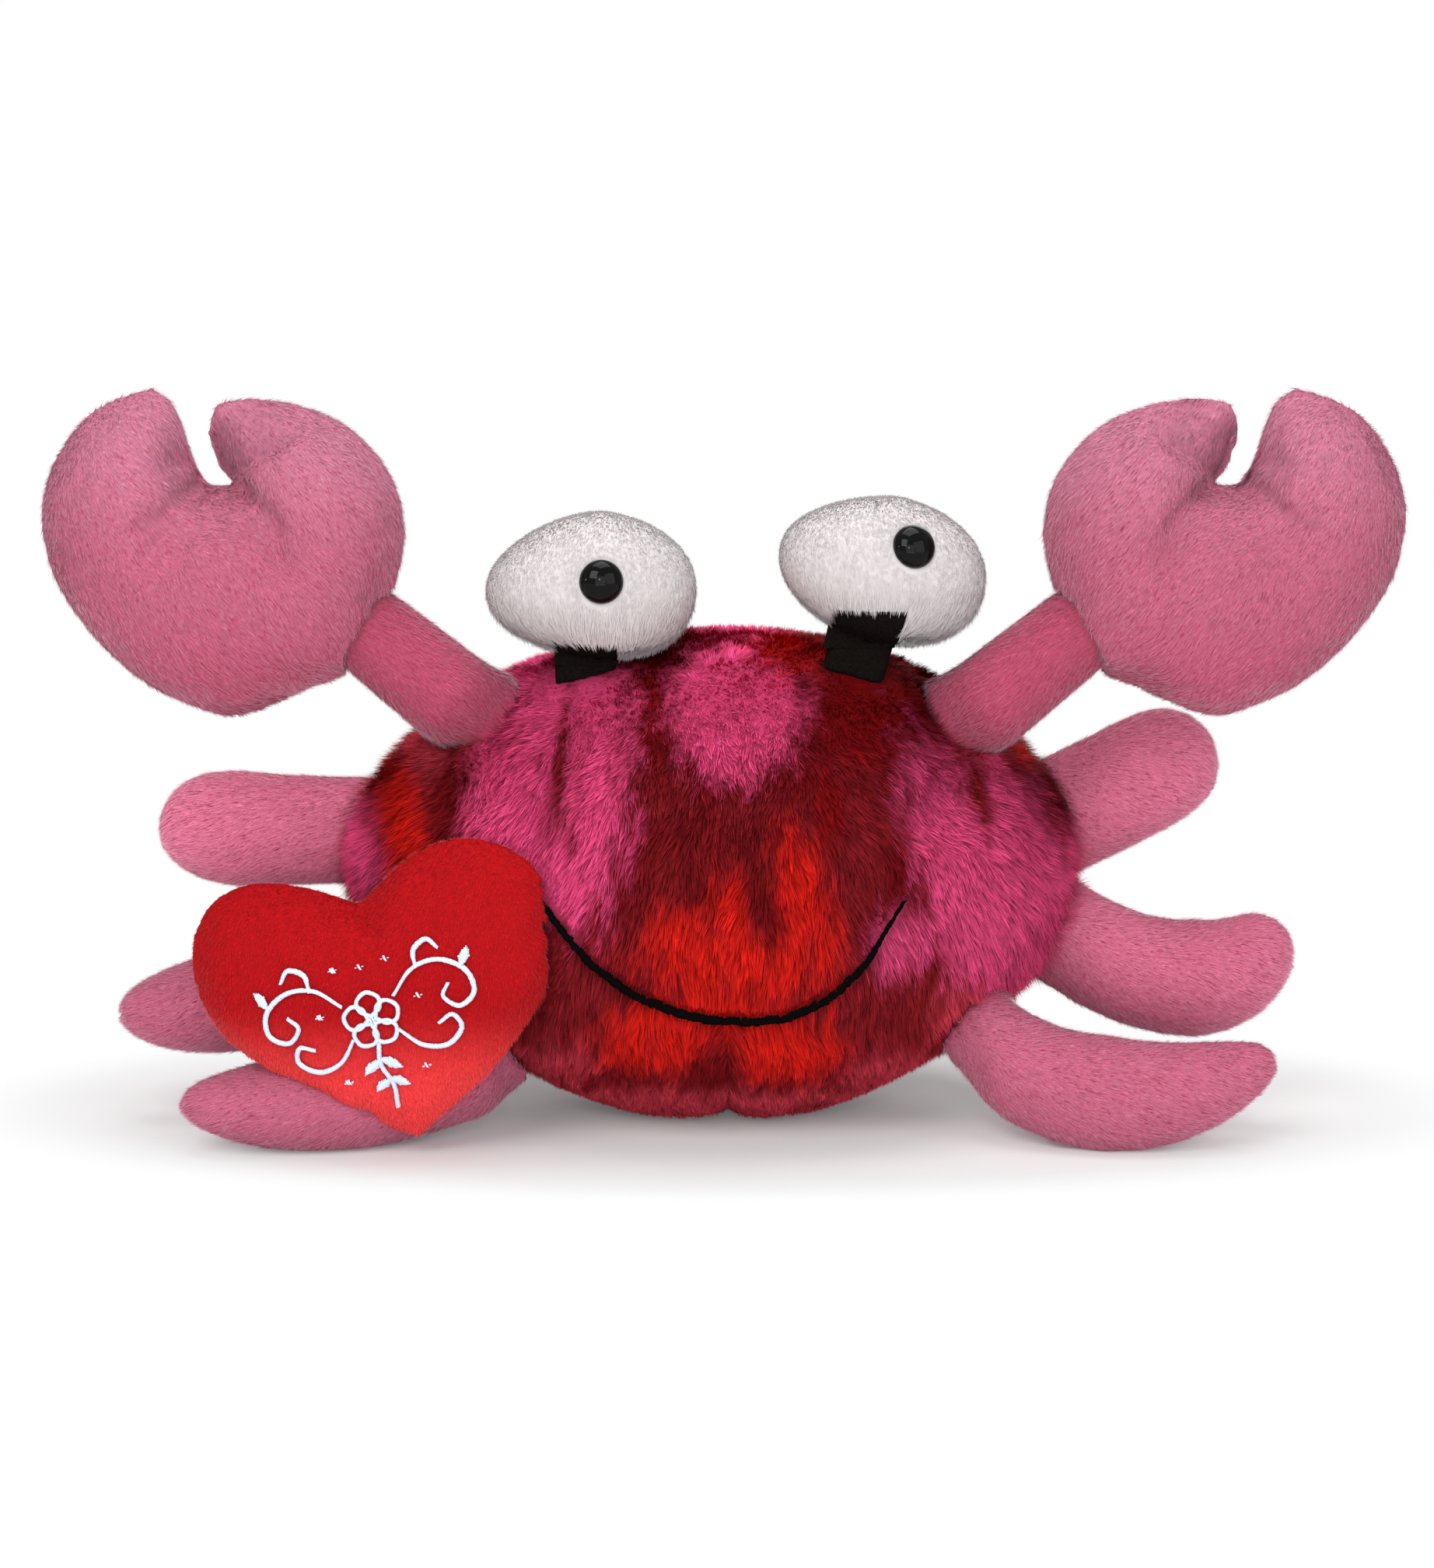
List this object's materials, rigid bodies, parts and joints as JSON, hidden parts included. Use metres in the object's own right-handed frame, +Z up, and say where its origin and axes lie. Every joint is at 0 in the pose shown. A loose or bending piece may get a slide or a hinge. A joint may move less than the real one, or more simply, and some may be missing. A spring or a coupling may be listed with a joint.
{
  "type": "plush crab",
  "caption": "Soft stuffed toy crab with raised pincer claws, stubby legs, stalked eyes with domed pupils, a stitched smile and a padded heart; sits flat on its belly.",
  "frame": {"origin": "middle of the flat patch under the belly, on the floor", "axes": "+Z up, -Y is the way the crab faces, +X towards the claw on the right as seen from the front"},
  "size_m": [0.3207, 0.1144, 0.1788],
  "materials": {
    "body_fur": "long-pile plush dyed in crimson, hot pink and red-orange",
    "limb_plush": "short-pile pink plush",
    "eye_plush": "short-pile white plush",
    "stalk_felt": "black felt",
    "pupil_plastic": "glossy black moulded plastic",
    "washer_nylon": "natural nylon",
    "smile_thread": "black embroidery thread",
    "heart_plush": "short-pile red plush with pale blue-white embroidery"
  },
  "bodies": {
    "root": {"body": "body_fur", "arm_left": "limb_plush", "arm_right": "limb_plush", "claw_left": "limb_plush", "claw_right": "limb_plush", "leg_upper_left": "limb_plush", "leg_upper_right": "limb_plush", "leg_middle_left": "limb_plush", "leg_middle_right": "limb_plush", "leg_lower_left": "limb_plush", "leg_lower_right": "limb_plush", "eyeball_left": "eye_plush", "eyeball_right": "eye_plush", "eye_stalk_left": "stalk_felt", "eye_stalk_right": "stalk_felt", "pupil_left": "pupil_plastic", "pupil_right": "pupil_plastic", "pupil_washer_left": "washer_nylon", "pupil_washer_right": "washer_nylon", "mouth": "smile_thread", "heart": "heart_plush"}
  },
  "joints": []
}
